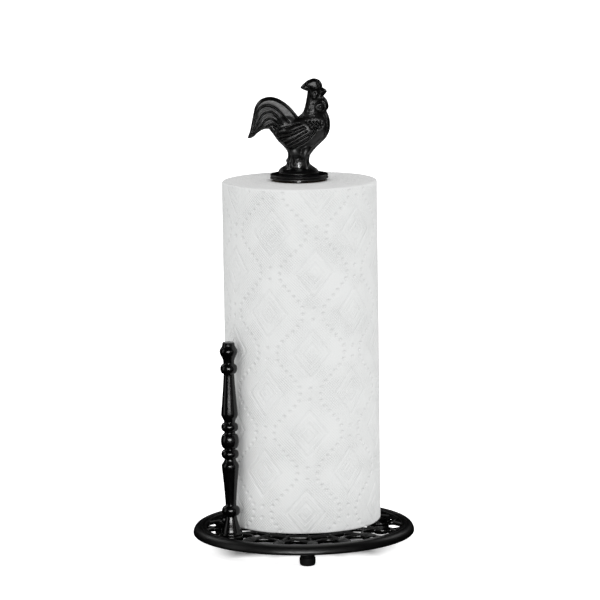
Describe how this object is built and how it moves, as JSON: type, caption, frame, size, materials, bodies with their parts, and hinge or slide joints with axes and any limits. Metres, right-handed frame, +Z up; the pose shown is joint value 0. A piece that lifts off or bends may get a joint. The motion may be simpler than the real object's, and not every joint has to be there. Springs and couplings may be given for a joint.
{
  "type": "paper towel holder",
  "caption": "Free-standing cast-iron paper towel holder with an openwork round base, turned tear bar, rooster finial and a towel roll.",
  "frame": {"origin": "centre of the base at the surface it stands on", "axes": "+Z up along the post, -Y towards the front, +X towards the rooster's beak"},
  "size_m": [0.1806, 0.1806, 0.3848],
  "materials": {
    "black_iron": "satin black enamel on cast iron",
    "zinc_steel": "zinc-plated steel hardware",
    "black_rubber": "matte black rubber",
    "towel_paper": null,
    "core_board": "spirally wound grey-brown board"
  },
  "bodies": {
    "holder": {"base_casting": "black_iron", "foot_cap_front": "black_rubber", "foot_cap_rear_left": "black_rubber", "foot_cap_rear_right": "black_rubber", "centre_post": "zinc_steel", "post_washer": "zinc_steel", "post_nut": "zinc_steel", "tear_bar": "black_iron", "tear_bar_washer": "zinc_steel", "tear_bar_screw": "zinc_steel"},
    "roll": {"roll_core": "core_board", "towel_roll": "towel_paper"},
    "disc": {"retaining_disc": "black_iron"},
    "finial": {"rooster": "black_iron", "finial_stud": "zinc_steel"}
  },
  "joints": [
    {"name": "roll_spin", "type": "hinge", "parent": "holder", "child": "roll", "pos_m": [0, 0, 0.0227], "axis": [0, 0, 1], "continuous": true},
    {"name": "finial_rise", "type": "slide", "parent": "holder", "child": "disc", "axis": [0, 0, 1], "range_m": [0, 0.00937]},
    {"name": "finial_turn", "type": "hinge", "parent": "disc", "child": "finial", "pos_m": [0, 0, 0.3077], "axis": [0, 0, 1], "range_deg": [0, 2701]}
  ],
  "couplings": [
    {"joint": "finial_turn", "follows": "finial_rise", "rad_per_m": 5026.5}
  ]
}
